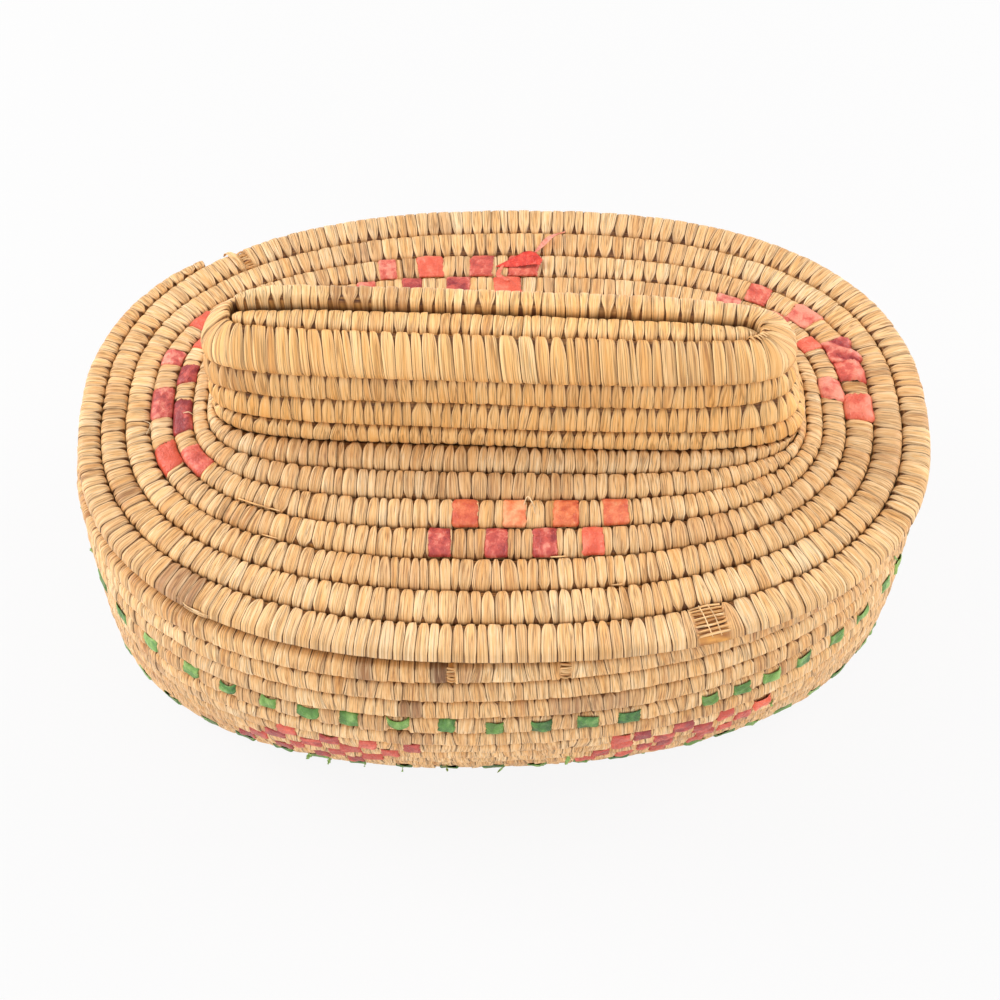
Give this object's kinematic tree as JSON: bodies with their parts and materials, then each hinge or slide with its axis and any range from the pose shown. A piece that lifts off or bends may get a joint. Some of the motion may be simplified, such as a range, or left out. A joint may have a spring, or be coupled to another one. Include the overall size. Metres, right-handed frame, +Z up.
{
  "type": "lidded coiled basket",
  "caption": "Oval basket of coiled grass with a rounded wall, a lift-off lid that carries a long raised knob, and a checker of dyed gut under the stitches.",
  "frame": {"origin": "under the middle of the basket, on the surface that it stands on", "axes": "+X along the oval's length, to the viewer's right in the picture, +Y to the back, +Z up"},
  "size_m": [0.3, 0.2126, 0.1651],
  "materials": {
    "straw": "dried grass, stitched, matt with a faint sheen",
    "golden_straw": "dried grass of a warmer gold, stitched, matt",
    "rose_gut": "thin gut dyed rose red, crinkled, half glossy",
    "orange_gut": "thin gut dyed orange red, crinkled, half glossy",
    "green_gut": "thin gut dyed green, crinkled, half glossy"
  },
  "bodies": {
    "basket": {"base_core": "straw", "base_round_01": "straw", "base_round_02": "straw", "base_round_03": "straw", "base_round_04": "straw", "base_round_05": "straw", "base_round_06": "straw", "base_round_07": "straw", "wall_round_01": "straw", "wall_round_02": "straw", "wall_round_03": "straw", "wall_round_04": "straw", "wall_round_05": "straw", "wall_round_06": "straw", "wall_round_07": "straw", "wall_round_08": "straw", "wall_round_09": "straw", "wall_round_10": "straw", "wall_round_11": "straw", "wall_round_12": "straw", "gut_wall_front_left_1": "rose_gut", "gut_wall_front_left_2": "rose_gut", "gut_wall_front_left_3": "rose_gut", "gut_wall_front_left_4": "rose_gut", "gut_wall_front_right_1": "rose_gut", "gut_wall_front_right_2": "rose_gut", "gut_wall_front_right_3": "rose_gut", "gut_wall_front_right_4": "rose_gut", "gut_wall_back_right_1": "rose_gut", "gut_wall_back_right_2": "rose_gut", "gut_wall_back_right_3": "rose_gut", "gut_wall_back_right_4": "rose_gut", "gut_wall_back_left_1": "rose_gut", "gut_wall_back_left_2": "rose_gut", "gut_wall_back_left_3": "rose_gut", "gut_wall_back_left_4": "rose_gut", "gut_wall_green_upper": "green_gut", "gut_wall_green_lower": "green_gut"},
    "lid": {"lid_round_01": "straw", "lid_round_02": "straw", "lid_round_03": "straw", "lid_round_04": "straw", "lid_round_05": "straw", "lid_round_06": "straw", "lid_round_07": "straw", "knob_wall_round_1": "golden_straw", "knob_wall_round_2": "golden_straw", "knob_wall_round_3": "golden_straw", "knob_top_round": "golden_straw", "knob_core": "golden_straw", "lid_flange": "straw", "gut_lid_right_outer": "rose_gut", "gut_lid_right_inner": "rose_gut", "gut_lid_back_outer": "rose_gut", "gut_lid_back_inner": "rose_gut", "gut_lid_left_outer": "rose_gut", "gut_lid_left_inner": "rose_gut", "gut_lid_front_outer": "rose_gut", "gut_lid_front_inner": "orange_gut"}
  },
  "joints": [
    {"name": "lid_lift", "type": "slide", "parent": "basket", "child": "lid", "axis": [0, 0, 1], "range_m": [0, 0.15]}
  ]
}
